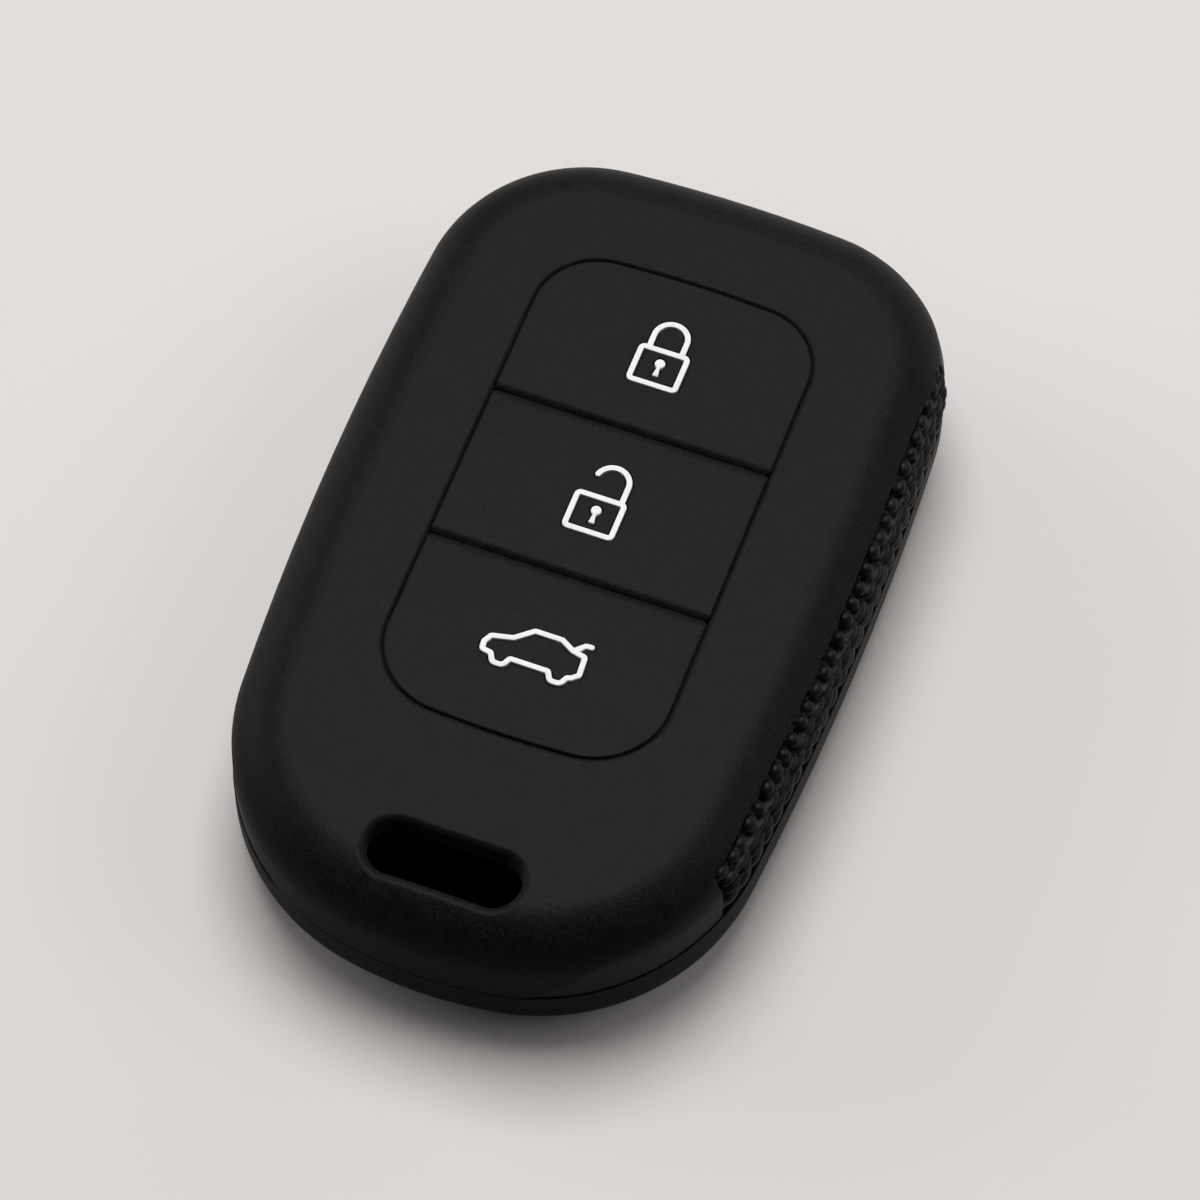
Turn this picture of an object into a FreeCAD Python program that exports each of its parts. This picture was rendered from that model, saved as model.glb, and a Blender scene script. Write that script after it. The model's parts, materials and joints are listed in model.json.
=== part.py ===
"""Key fob cover: a soft front shell and rear rim round a fob, with side grips and three sprung buttons.

The fob goes in through the window in the back.

X runs across the cover, Y from the key ring slot to the far end and Z up out of the front face.
The origin is under the middle of the cover, on the surface that it lies on. All sizes are in
millimetres and come from the sheet that make_sheet fills.
"""
import FreeCAD
import Part
import math
import os

from FreeCAD import Vector

# Each row is an alias of the sheet, its value or formula and what it sets.
SIZES = (
    ("cover_length", 71.75, "overall length along Y"),
    ("cover_width", 44.3, "overall width along X"),
    ("cover_height", 14.8, "overall height along Z"),
    ("far_end_radius", 120.0, "plan radius of the far end"),
    ("near_end_radius", 36.0, "plan radius of the slot end"),
    ("side_radius", 280.0, "plan radius of the long sides"),
    ("widest_place", 6.0, "Y of the widest place"),
    ("far_corner_radius", 13.5, "plan radius of the far corners"),
    ("near_corner_radius", 18.0, "plan radius of the slot end's corners"),
    ("shoulder_radius", 4.6, "rounding of the front edge"),
    ("heel_radius", 5.0, "rounding of the rear edge"),
    ("skirt_wall", 1.0, "outer layer of the side wall: front skirt and grips"),
    ("lip_wall", 0.7, "inner layer of the side wall: the rear rim's lip"),
    ("lip_clearance", 0.1, "room round the lip"),
    ("front_skin", 1.8, "thickness of the front face"),
    ("rear_skin", 1.6, "thickness of the rear face"),
    ("lip_drop", 3.2, "depth of the lip's top edge under the front face"),
    ("seam_drop", 8.1, "depth of the seam at both ends, under the front face"),
    ("seam_gap", 0.12, "open line between the front shell and the rear rim"),
    ("grip_foot_drop", 7.3, "depth of the grips' lower edge under the front face"),
    ("grip_foot_margin", 11.75, "ends of the grips' straight lower edge, from the cover's ends"),
    ("grip_sweep_radius", 40.0, "rounding where the grips' edges leave their straights"),
    ("grip_tip_gap", 0.05, "room between the right grip's tips and the inside of the wall"),
    ("right_brow_drop", 1.35, "depth of the right grip's upper edge under the front face"),
    ("right_brow_margin", 15.75, "ends of its straight upper edge, from the cover's ends"),
    ("right_turn_drop", 3.3, "depth of the turns where its tails drop"),
    ("right_turn_margin", 3.95, "those turns, from the cover's ends"),
    ("right_turn_radius", 3.0, "rounding of those turns"),
    ("right_tip_margin", "=skirt_wall + grip_tip_gap", "tips of its tails, from the cover's ends"),
    ("left_brow_drop", 3.75, "depth of the left grip's upper edge under the front face"),
    ("left_brow_margin", 7.5, "ends of its straight upper edge, from the cover's ends"),
    ("left_brow_radius", 8.0, "rounding of those ends"),
    ("left_tip_margin", 3.0, "tips of its tails, from the cover's ends"),
    ("brow_round", 0.08, "rounding of the front shell's outer edge along the grips"),
    ("grip_recess", 0.1, "how far the grips lie below the shell and rim"),
    ("panel_width", 23.0, "button panel, measured between groove centres"),
    ("panel_far_margin", 10.65, "the panel's far groove, from the far end"),
    ("panel_near_margin", 17.5, "the panel's near groove, from the slot end"),
    ("panel_far", "=cover_length / 2 - panel_far_margin", "Y of the panel's far groove"),
    ("panel_near", "=panel_near_margin - cover_length / 2", "Y of the panel's near groove"),
    ("lock_share", 0.3354, "the lock button's share of the panel's length"),
    ("unlock_share", 0.3211, "the unlock button's share of the panel's length"),
    ("upper_groove", "=panel_far - lock_share * (panel_far - panel_near)", "Y of the lock's groove"),
    ("lower_groove", "=upper_groove - unlock_share * (panel_far - panel_near)", "Y of the trunk's groove"),
    ("groove_width", 0.06, "gap round each button"),
    ("rim_round", 0.4, "rounding of the shell's edge round the panel"),
    ("button_round", 0.2, "rounding of a button's upper edge"),
    ("crease_depth", 0.33, "depth of the crease between two buttons"),
    ("crease_roll", 0.6, "width of the crease's rolled side, towards the far end"),
    ("crease_bulge", 0.06, "how far that side bulges out"),
    ("crease_slope", 0.8, "width of the crease's sloping side, towards the slot"),
    ("pocket_depth", 1.3, "depth of the pocket that the buttons lie in"),
    ("panel_far_corner", 5.3, "rounding of the panel's far corners"),
    ("panel_near_corner", 6.2, "rounding of the panel's near corners"),
    ("button_corner", 0.55, "rounding of button corners at a cross groove"),
    ("panel_far_bow", 0.65, "how far the panel's far edge bows out"),
    ("panel_near_bow", 0.6, "how far the panel's near edge bows out"),
    ("panel_bow_share", 0.8, "share of a bowed edge's straights that the bend in its middle takes up"),
    ("least_corner", 0.1, "rounding that an outline's corners keep where it is moved in"),
    ("window_inset", 0.3, "how far the window under a button stands in from the button's edge"),
    ("button_edge", 0.7, "thickness of a button's edge"),
    ("stem_inset", 1.1, "how far a button's stem stands in from its edge"),
    ("stem_depth", 2.0, "depth of a button's underside"),
    ("boss_diameter", 6.0, "boss that presses on the fob's own button"),
    ("boss_length", 0.5, "how far the boss stands out of the stem"),
    ("web_drop", 1.35, "depth of the web where it leaves the shell"),
    ("web_fall", 0.3, "how far the web falls towards the stem"),
    ("web_thickness", 0.3, "thickness of the web that carries a button"),
    ("slot_length", 12.3, "key ring slot, end to end"),
    ("slot_height", 4.3, "key ring slot, side to side"),
    ("slot_margin", 6.0, "the slot's middle, from the slot end"),
    ("slot_place", "=slot_margin - cover_length / 2", "Y of the slot's middle"),
    ("slot_flare", 0.65, "rounding of the slot's mouth in the front"),
    ("slot_rear_flare", 0.6, "rounding of the slot's mouth in the back"),
    ("window_margin", 8.65, "window in the back, from the cover's sides"),
    ("window_far_margin", 9.75, "window in the back, from the far end"),
    ("window_near_margin", 19.75, "window in the back, from the slot end"),
    ("window_corner", 9.0, "rounding of the window's corners"),
    ("window_round", 0.7, "rounding of the window's rim"),
    ("icon_stroke", 0.52, "width of an icon's line"),
    ("icon_raise", 0.12, "how far an icon stands above its button"),
    ("icon_sink", 0.4, "depth of an icon's channel"),
    ("icon_gap", 0.1, "clearance between an icon and its channel"),
    ("padlock_width", 3.85, "padlock body, between line centres"),
    ("padlock_height", 3.2, "padlock body, between line centres"),
    ("padlock_corner", 0.3, "rounding of the padlock body"),
    ("shackle_radius", 1.36, "padlock shackle, at the line's centre"),
    ("shackle_leg", 1.3, "straight leg of the closed shackle"),
    ("open_shackle_leg", 1.6, "straight leg of the open shackle"),
    ("open_shackle_shift", 0.28, "how far the open shackle stands to the right"),
    ("open_shackle_turn", 163.0, "degrees that the open shackle turns through"),
    ("lock_drop", 1.23, "the closed padlock's body, below the middle of its button"),
    ("unlock_drop", 1.3, "the open padlock's body, below the middle of its button"),
    ("keyhole_radius", 0.46, "round part of a keyhole"),
    ("keyhole_length", 1.25, "keyhole, from its round part's middle to its foot"),
    ("keyhole_lift", 0.42, "height of the round part above the padlock body's middle"),
    ("keyhole_neck", 0.36, "width of a keyhole's neck"),
    ("keyhole_foot", 0.6, "width of a keyhole's foot"),
    ("car_length", 7.8, "car outline, nose to tail, between line centres"),
    ("car_height", 3.1, "car outline, sill to roof, between line centres"),
    ("trunk_drop", -0.32, "the car outline's middle, below the middle of its button"),
    ("wheel_width", 1.56, "wheels of the car outline, at its sill"),
    ("wheel_drop", 0.72, "wheels of the car outline, below its sill"),
    ("wheel_round", 0.46, "rounding of the wheels"),
    ("car_bend", 0.2, "rounding of the car outline's corners"),
)

BUTTONS = ("lock", "unlock", "trunk")
# Turns a sketch's own axes into Y and Z, with its normal along X.
UPRIGHT = FreeCAD.Rotation(Vector(1, 1, 1), 120)
TOUCH = 1e-6
# How close an edge where two faces meet comes to the path that it follows.
FOLLOWS = 1e-4


def make_sheet(doc):
    """Fills the sheet of driving dimensions."""
    sheet = doc.addObject("Spreadsheet::Sheet", "Sizes")
    for row, (alias, value, meaning) in enumerate(SIZES, start=1):
        sheet.set("A%d" % row, meaning)
        sheet.setAlias("B%d" % row, alias)
        sheet.set("B%d" % row, str(value))
    doc.recompute()
    return sheet


class Cover:
    """Holds the document, its sheet and the pieces made so far."""

    def __init__(self):
        self.doc = FreeCAD.newDocument("KeyFobCover")
        self.sheet = make_sheet(self.doc)
        self.pieces = []

    def size(self, *aliases):
        """Returns the sum of one or more driving dimensions."""
        return sum(float(self.sheet.get(alias)) for alias in aliases)

    def bind(self, thing, **formulas):
        """Binds properties to formulas of the sheet; two underscores stand for a dot."""
        for name, formula in formulas.items():
            thing.setExpression(name.replace("__", "."), formula)

    def sketch(self, name, edges, upright=False):
        """Keeps an outline as a sketch in the XY plane, or upright in the YZ plane."""
        outline = self.doc.addObject("Sketcher::SketchObject", name)
        outline.addGeometry([edge_curve(edge) for edge in edges], False)
        if upright:
            outline.Placement = FreeCAD.Placement(Vector(0, 0, 0), UPRIGHT)
        return outline

    def feature(self, name, shape):
        """Keeps a shape that no parametric feature makes."""
        thing = self.doc.addObject("Part::Feature", name)
        thing.Shape = shape
        return thing

    def combine(self, kind, name, first, second):
        """Adds the cut or the common part of two objects."""
        thing = self.doc.addObject("Part::" + kind, name)
        thing.Base = first
        thing.Tool = second
        self.doc.recompute()
        return thing

    def fuse(self, name, things):
        """Adds the union of several objects."""
        thing = self.doc.addObject("Part::MultiFuse", name)
        thing.Shapes = things
        self.doc.recompute()
        return thing

    def extrude(self, name, outline, length, base="0"):
        """Raises an outline along Z by one formula from the height of another."""
        thing = self.doc.addObject("Part::Extrusion", name)
        thing.Base = outline
        thing.DirMode = "Custom"
        thing.Dir = Vector(0, 0, 1)
        thing.Solid = True
        self.bind(thing, LengthFwd=length, Placement__Base__z=base)
        self.doc.recompute()
        return thing

    def extrude_across(self, name, outline, left="Sizes.cover_width", right="Sizes.cover_width", base="0"):
        """Carries an upright outline across the cover to both sides of its middle, from a height."""
        thing = self.doc.addObject("Part::Extrusion", name)
        thing.Base = outline
        thing.DirMode = "Custom"
        thing.Dir = Vector(1, 0, 0)
        thing.Solid = True
        self.bind(thing, LengthFwd=right, LengthRev=left, Placement__Base__z=base)
        self.doc.recompute()
        return thing

    def block(self, name, **formulas):
        """Adds a box that covers the whole plan; formulas override its sizes and place."""
        thing = self.doc.addObject("Part::Box", name)
        sizes = {
            "Length": "2 * Sizes.cover_width",
            "Width": "2 * Sizes.cover_length",
            "Height": "2 * Sizes.cover_height",
            "Placement__Base__x": "-Sizes.cover_width",
            "Placement__Base__y": "-Sizes.cover_length",
            "Placement__Base__z": "0",
        }
        sizes.update(formulas)
        self.bind(thing, **sizes)
        self.doc.recompute()
        return thing

    def round_edges(self, name, base, chosen):
        """Rounds edges of an object; chosen gives an edge's radius, or 0 to leave it."""
        thing = self.doc.addObject("Part::Fillet", name)
        thing.Base = base
        radii = [(index, chosen(edge)) for index, edge in enumerate(base.Shape.Edges, start=1)]
        thing.Edges = [(index, radius, radius) for index, radius in radii if radius > 0]
        self.doc.recompute()
        return thing

    def piece(self, node, thing):
        """Names an object as one of the cover's pieces."""
        thing.Label = node
        self.pieces.append(thing)


def unit(vector):
    """Returns the vector at length one."""
    return vector * (1.0 / vector.Length)


def half_way(edge):
    """Returns the point halfway along an edge."""
    low, high = edge.ParameterRange
    return edge.valueAt((low + high) / 2)


def edge_curve(edge):
    """Returns the line or arc that an edge lies on, with its ends."""
    first, last = edge.firstVertex(True).Point, edge.lastVertex(True).Point
    if isinstance(edge.Curve, Part.Line):
        return Part.LineSegment(first, last)
    return Part.Arc(first, half_way(edge), last)


def meeting(centre_a, radius_a, centre_b, radius_b, side):
    """Returns the point at two distances from two centres; side picks one of the two."""
    line = centre_b - centre_a
    along = (radius_a ** 2 - radius_b ** 2 + line.Length ** 2) / (2 * line.Length)
    across = math.sqrt(radius_a ** 2 - along ** 2)
    direction = unit(line)
    normal = Vector(-direction.y, direction.x, 0)
    return centre_a + direction * along + normal * (side * across)


def arc_between(centre, first, last):
    """Returns the shorter arc about a centre between two points."""
    radius = (first - centre).Length
    middle = centre + unit((first + last) * 0.5 - centre) * radius
    return Part.Arc(first, middle, last).toShape()


def rounded_path(points, radii, closed=True):
    """Joins points with lines and rounds each corner by its radius; 0 leaves it sharp."""
    count = len(points)
    starts, ends, arcs = list(points), list(points), [None] * count
    for index, (corner, radius) in enumerate(zip(points, radii)):
        if radius == 0 or (not closed and index in (0, count - 1)):
            continue
        to_last = unit(points[index - 1] - corner)
        to_next = unit(points[(index + 1) % count] - corner)
        half = math.acos(max(-1.0, min(1.0, to_last.dot(to_next)))) / 2
        reach = radius / math.tan(half)
        starts[index] = corner + to_last * reach
        ends[index] = corner + to_next * reach
        centre = corner + unit(to_last + to_next) * (radius / math.sin(half))
        arcs[index] = arc_between(centre, starts[index], ends[index])
    edges = []
    for index in range(count):
        if arcs[index] is not None:
            edges.append(arcs[index])
        start, end = ends[index], starts[(index + 1) % count]
        if (closed or index < count - 1) and (end - start).Length > TOUCH:
            edges.append(Part.LineSegment(start, end).toShape())
    return edges


def mirrored(point):
    """Returns the point's mirror image across the cover's middle plane."""
    return Vector(-point.x, point.y, point.z)


def cover_outline(cover, inset):
    """Returns the plan outline, eight tangent arcs, moved in by an inset."""
    half_length = cover.size("cover_length") / 2
    far_radius = cover.size("far_end_radius")
    near_radius = cover.size("near_end_radius")
    side_radius = cover.size("side_radius")
    far_centre = Vector(0, half_length - far_radius, 0)
    near_centre = Vector(0, near_radius - half_length, 0)
    side_centre = Vector(cover.size("cover_width") / 2 - side_radius, cover.size("widest_place"), 0)

    def corner(end_centre, end_radius, corner_radius, way):
        """Returns the corner arc's centre and its two touching points."""
        room = (end_centre, end_radius - corner_radius, side_centre, side_radius - corner_radius)
        centre = max((meeting(*room, side) for side in (1, -1)), key=lambda point: way * point.y)
        on_end = end_centre + unit(centre - end_centre) * (end_radius - inset)
        on_side = side_centre + unit(centre - side_centre) * (side_radius - inset)
        return centre, on_end, on_side

    far, far_end, far_side = corner(far_centre, far_radius, cover.size("far_corner_radius"), 1)
    near, near_end, near_side = corner(near_centre, near_radius, cover.size("near_corner_radius"), -1)
    return [
        arc_between(far_centre, far_end, mirrored(far_end)),
        arc_between(mirrored(far), mirrored(far_end), mirrored(far_side)),
        arc_between(mirrored(side_centre), mirrored(far_side), mirrored(near_side)),
        arc_between(mirrored(near), mirrored(near_side), mirrored(near_end)),
        arc_between(near_centre, mirrored(near_end), near_end),
        arc_between(near, near_end, near_side),
        arc_between(side_centre, near_side, far_side),
        arc_between(far, far_side, far_end),
    ]


def at_height(edge, height):
    """Tells whether an edge lies level at a height."""
    return all(abs(vertex.Point.z - height) < TOUCH for vertex in edge.Vertexes)


def make_layer(cover, name, inset, drop, rise):
    """Makes the cover's outer form, moved in at its sides, its front and its rear.

    Each of the three moves is a tuple of aliases that are added up.
    """
    sums = [" + ".join(["0"] + ["Sizes." + alias for alias in move]) for move in (drop, rise)]
    outline = cover.sketch(name + "_outline", cover_outline(cover, cover.size(*inset)))
    height = "Sizes.cover_height - (%s) - (%s)" % tuple(sums)
    block = cover.extrude(name + "_block", outline, height, sums[1])
    top = cover.size("cover_height") - cover.size(*drop)
    bottom = cover.size(*rise)

    def radius(edge):
        """Gives the shoulder to the upper rim and the heel to the lower one."""
        if at_height(edge, top):
            return cover.size("shoulder_radius") - cover.size(*inset)
        if at_height(edge, bottom):
            return cover.size("heel_radius") - cover.size(*inset)
        return 0

    return cover.round_edges(name, block, radius)


def both_ways(points, radii):
    """Continues corners and their roundings as a mirror image towards the slot end."""
    return points + [mirrored(point) for point in reversed(points)], radii + radii[::-1]


def rim_line(cover):
    """Returns the rear rim's upper edge, seen from the side: corners and their roundings.

    It runs along Y as sketch x and Z as sketch y, as the seam at both ends and higher under the grips.
    """
    height = cover.size("cover_height")
    end = cover.size("cover_length") / 2
    seam = height - cover.size("seam_drop")
    foot = Vector(end - cover.size("grip_foot_margin"), height - cover.size("grip_foot_drop"), 0)
    tip = Vector(end - cover.size("right_tip_margin"), seam, 0)
    return both_ways([Vector(2 * end, seam, 0), tip, foot], [0, 0, cover.size("grip_sweep_radius")])


def right_brow_line(cover):
    """Returns the right grip's upper edge as rim_line does; it climbs to the front shell's shoulder."""
    height = cover.size("cover_height")
    end = cover.size("cover_length") / 2
    tip = rim_line(cover)[0][1]
    turn = Vector(end - cover.size("right_turn_margin"), height - cover.size("right_turn_drop"), 0)
    brow = Vector(end - cover.size("right_brow_margin"), height - cover.size("right_brow_drop"), 0)
    return both_ways([tip, turn, brow], [0, cover.size("right_turn_radius"), cover.size("grip_sweep_radius")])


def left_brow_line(cover):
    """Returns the left grip's upper edge as rim_line does; it stays low, on the upright wall."""
    height = cover.size("cover_height")
    end = cover.size("cover_length") / 2
    seam_end, foot = rim_line(cover)[0][1:3]
    place = end - cover.size("left_tip_margin")
    tip = seam_end + (foot - seam_end) * ((seam_end.x - place) / (seam_end.x - foot.x))
    brow = Vector(end - cover.size("left_brow_margin"), height - cover.size("left_brow_drop"), 0)
    return both_ways([tip, brow], [0, cover.size("left_brow_radius")])


def make_side_blocks(cover):
    """Makes the blocks that part the shell, the grips and the rim.

    Returns the block of each grip by side, the block below the rim's edge, and the same one
    raised by the seam's gap.
    """
    rim, rim_radii = rim_line(cover)
    reach = cover.size("cover_length")
    over = 2 * cover.size("cover_height")
    floor = [Vector(-reach, -over, 0), Vector(reach, -over, 0)]
    below_outline = cover.sketch("below_outline", rounded_path(rim + floor, rim_radii + [0, 0]), upright=True)
    below = cover.extrude_across("below_block", below_outline)
    raised = cover.extrude_across("raised_block", below_outline, base="Sizes.seam_gap")
    feet, feet_radii = rim[-3:1:-1], rim_radii[-3:1:-1]
    grips = {}
    for side, (brow, brow_radii), reaches in (
        ("left", left_brow_line(cover), {"right": "0"}),
        ("right", right_brow_line(cover), {"left": "0"}),
    ):
        edges = rounded_path(brow + feet, brow_radii + feet_radii)
        outline = cover.sketch(side + "_grip_outline", edges, upright=True)
        grips[side] = cover.extrude_across(side + "_grip_block", outline, **reaches)
    return grips, below, raised


def panel_outline(cover, far, near, grow):
    """Returns a rounded outline inside the button panel between two limits of Y.

    A limit at the panel's own end takes that end's bow and corners; grow moves the whole
    outline out, or in where it is negative.
    """
    middle = cover.size("panel_width") / 2
    half = middle + grow
    corners, radii = [], []
    for limit, end, bow, end_corner, way in (
        (far, cover.size("panel_far"), cover.size("panel_far_bow"), cover.size("panel_far_corner"), 1),
        (near, cover.size("panel_near"), cover.size("panel_near_bow"), cover.size("panel_near_corner"), -1),
    ):
        height = limit + way * grow
        if limit == end:
            low = height - way * bow
            corners += [Vector(way * half, low, 0), Vector(0, height, 0), Vector(-way * half, low, 0)]
            bend = cover.size("panel_bow_share") * (middle - end_corner) * middle / bow
            radii += [end_corner + grow, bend, end_corner + grow]
        else:
            corners += [Vector(way * half, height, 0), Vector(-way * half, height, 0)]
            radii += [max(cover.size("button_corner") + grow, cover.size("least_corner"))] * 2
    return rounded_path(corners, radii)


def slot_outline(cover):
    """Returns the key ring slot's outline, which has round ends."""
    half_height = cover.size("slot_height") / 2
    half_length = cover.size("slot_length") / 2
    middle = cover.size("slot_place")
    corners = [
        Vector(half_length, middle + half_height, 0),
        Vector(-half_length, middle + half_height, 0),
        Vector(-half_length, middle - half_height, 0),
        Vector(half_length, middle - half_height, 0),
    ]
    return rounded_path(corners, [half_height] * 4)


def button_limits(cover):
    """Returns the far and near limits of each button's outline along Y, before the grooves."""
    edges = ["panel_far", "upper_groove", "lower_groove", "panel_near"]
    return dict(zip(BUTTONS, zip(map(cover.size, edges), map(cover.size, edges[1:]))))


def button_outline(cover, button, grow):
    """Returns a button's outline, moved out by an amount from the button's own edge."""
    far, near = button_limits(cover)[button]
    return panel_outline(cover, far, near, grow - cover.size("groove_width") / 2)


def in_slot(cover, edge):
    """Tells whether an edge runs level round the key ring slot."""
    point = edge.CenterOfMass
    heights = [vertex.Point.z for vertex in edge.Vertexes]
    return (
        abs(point.x) < cover.size("slot_length") / 2 + TOUCH
        and abs(point.y - cover.size("slot_place")) < cover.size("slot_height") / 2 + TOUCH
        and max(heights) - min(heights) < cover.size("slot_flare") / 2
    )


def in_panel(cover, edge):
    """Tells whether an edge lies over the button panel."""
    point = edge.CenterOfMass
    reach = cover.size("groove_width")
    return (
        abs(point.x) < cover.size("panel_width") / 2 + reach
        and cover.size("panel_near") - reach < point.y < cover.size("panel_far") + reach
    )


def make_shells(cover):
    """Makes the front shell, the rear rim and the two side grips between them."""
    wall = ("skirt_wall", "lip_clearance", "lip_wall")
    outer = make_layer(cover, "outer", (), (), ())
    grip_face = make_layer(cover, "grip_face", ("grip_recess",), ("grip_recess",), ("grip_recess",))
    inner = make_layer(cover, "inner", ("skirt_wall",), ("skirt_wall",), ("skirt_wall",))
    lip_face = make_layer(cover, "lip_face", wall[:2], wall[:2], wall[:2])
    cavity = make_layer(cover, "cavity", wall, ("front_skin",), ("rear_skin",))
    shell = cover.combine("Cut", "shell", outer, cavity)
    grips, below, raised = make_side_blocks(cover)
    outline = cover.sketch("slot_outline", slot_outline(cover))
    slot = cover.extrude("slot", outline, "2 * Sizes.cover_height", "-Sizes.cover_height / 2")
    make_front(cover, shell, inner, grips, raised, slot)
    make_rear(cover, shell, lip_face, cavity, below, slot)
    make_grips(cover, grip_face, inner, grips)


def make_front(cover, shell, inner, grips, raised, slot):
    """Makes the front shell: face, skirt, button pocket with its windows, and slot."""
    top = cover.size("cover_height")
    lower = cover.block("lower_block", Height="Sizes.cover_height - Sizes.lip_drop")
    lip_room = cover.combine("Common", "lip_room", inner, lower)
    skirt = cover.combine("Cut", "front_whole", shell, raised)
    for side, block in grips.items():
        room = cover.combine("Cut", side + "_grip_room", block, inner)
        skirt = cover.combine("Cut", side + "_side_opened", skirt, room)
    shelled = cover.combine("Cut", "front_shelled", skirt, lip_room)
    far, near = cover.size("panel_far"), cover.size("panel_near")
    panel = panel_outline(cover, far, near, cover.size("groove_width") / 2)
    pocket_outline = cover.sketch("pocket_outline", panel)
    pocket_floor = "Sizes.cover_height - Sizes.pocket_depth"
    pocket = cover.extrude("pocket", pocket_outline, "Sizes.cover_height", pocket_floor)
    openings = [pocket, slot]
    for button in BUTTONS:
        edges = button_outline(cover, button, -cover.size("window_inset"))
        outline = cover.sketch(button + "_window_outline", edges)
        openings.append(cover.extrude(button + "_window", outline, "2 * Sizes.cover_height"))
    opened = cover.combine("Cut", "front_opened", shelled, cover.fuse("front_openings", openings))
    brows = rounded_path(*left_brow_line(cover), False) + rounded_path(*right_brow_line(cover), False)

    def along_grip(edge):
        """Tells whether an edge follows a grip's upper edge on the outside of the shell."""
        point = half_way(edge)
        from_side = Part.Vertex(point.y, point.z, 0)
        outside = inner.Shape.distToShape(Part.Vertex(point))[0] > cover.size("skirt_wall") / 2
        return outside and min(brow.distToShape(from_side)[0] for brow in brows) < FOLLOWS

    def radius(edge):
        """Rounds the panel's rim, the mouth of the slot and the outer edge along each grip."""
        if along_grip(edge):
            return cover.size("brow_round")
        if at_height(edge, top) and in_panel(cover, edge):
            return cover.size("rim_round")
        if in_slot(cover, edge) and edge.CenterOfMass.z > top - cover.size("slot_flare"):
            return cover.size("slot_flare")
        return 0

    cover.piece("front_cover", cover.round_edges("front", opened, radius))


def make_rear(cover, shell, lip_face, cavity, below, slot):
    """Makes the rear rim: back, window, slot and the lip that the front shell and grips close over."""
    lip_height = "Sizes.cover_height - Sizes.lip_drop - Sizes.lip_clearance"
    under_lip = cover.block("under_lip", Height=lip_height)
    lip_wall = cover.combine("Cut", "lip_wall", lip_face, cavity)
    lip = cover.combine("Common", "lip", lip_wall, under_lip)
    whole = cover.fuse("rear_whole", [cover.combine("Common", "rear_skin", shell, below), lip])
    half_width = cover.size("cover_width") / 2 - cover.size("window_margin")
    far = cover.size("cover_length") / 2 - cover.size("window_far_margin")
    near = cover.size("window_near_margin") - cover.size("cover_length") / 2
    corners = [
        Vector(half_width, far, 0),
        Vector(-half_width, far, 0),
        Vector(-half_width, near, 0),
        Vector(half_width, near, 0),
    ]
    outline = cover.sketch("window_outline", rounded_path(corners, [cover.size("window_corner")] * 4))
    window = cover.extrude("window", outline, "Sizes.cover_height", "-Sizes.cover_height / 2")
    opened = cover.combine("Cut", "rear_opened", whole, cover.fuse("rear_openings", [slot, window]))

    def radius(edge):
        """Rounds the slot's mouth in the back and both edges of the window."""
        if in_slot(cover, edge) and edge.CenterOfMass.z < cover.size("slot_flare"):
            return cover.size("slot_rear_flare")
        point = edge.CenterOfMass
        beside_window = abs(point.x) < half_width + TOUCH and near - TOUCH < point.y < far + TOUCH
        if beside_window and (at_height(edge, 0) or at_height(edge, cover.size("rear_skin"))):
            return cover.size("window_round")
        return 0

    cover.piece("rear_cover", cover.round_edges("rear", opened, radius))


def make_grips(cover, grip_face, inner, grips):
    """Makes the two side grips, a little below the shell and rim round them."""
    layer = cover.combine("Cut", "grip_layer", grip_face, inner)
    for side, block in grips.items():
        cover.piece(side + "_grip", cover.combine("Common", side + "_grip_solid", layer, block))


def stroke(edges, width, closed):
    """Returns a flat band of a width along a path of edges."""
    path = Part.Wire(Part.__sortEdges__(edges))
    outer = path.makeOffset2D(width / 2)
    if not closed:
        return Part.Face(outer)
    return Part.Face(outer).cut(Part.Face(path.makeOffset2D(-width / 2)))


def padlock(cover, middle, is_open, width):
    """Returns the flat faces of a padlock drawn in line, closed or with its shackle swung open."""
    half_width = cover.size("padlock_width") / 2
    half_height = cover.size("padlock_height") / 2
    corners = [
        Vector(half_width, middle + half_height, 0),
        Vector(-half_width, middle + half_height, 0),
        Vector(-half_width, middle - half_height, 0),
        Vector(half_width, middle - half_height, 0),
    ]
    body = stroke(rounded_path(corners, [cover.size("padlock_corner")] * 4), width, True)
    radius = cover.size("shackle_radius")
    # The shackle's round feet end inside the body's line.
    base = middle + half_height + width / 4
    shift = cover.size("open_shackle_shift") if is_open else 0
    leg = cover.size("open_shackle_leg") if is_open else cover.size("shackle_leg")
    end_angle = math.radians(cover.size("open_shackle_turn")) if is_open else math.pi
    centre = Vector(shift, middle + half_height + leg, 0)

    def on_arc(angle):
        """Returns the shackle's point at an angle from its right leg."""
        return centre + Vector(math.cos(angle), math.sin(angle), 0) * radius

    start = on_arc(0)
    shackle = [
        Part.LineSegment(Vector(start.x, base, 0), start).toShape(),
        Part.Arc(start, on_arc(end_angle / 2), on_arc(end_angle)).toShape(),
    ]
    if not is_open:
        last = on_arc(end_angle)
        shackle.append(Part.LineSegment(last, Vector(last.x, base, 0)).toShape())
    return [body, stroke(shackle, width, False)]


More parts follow.
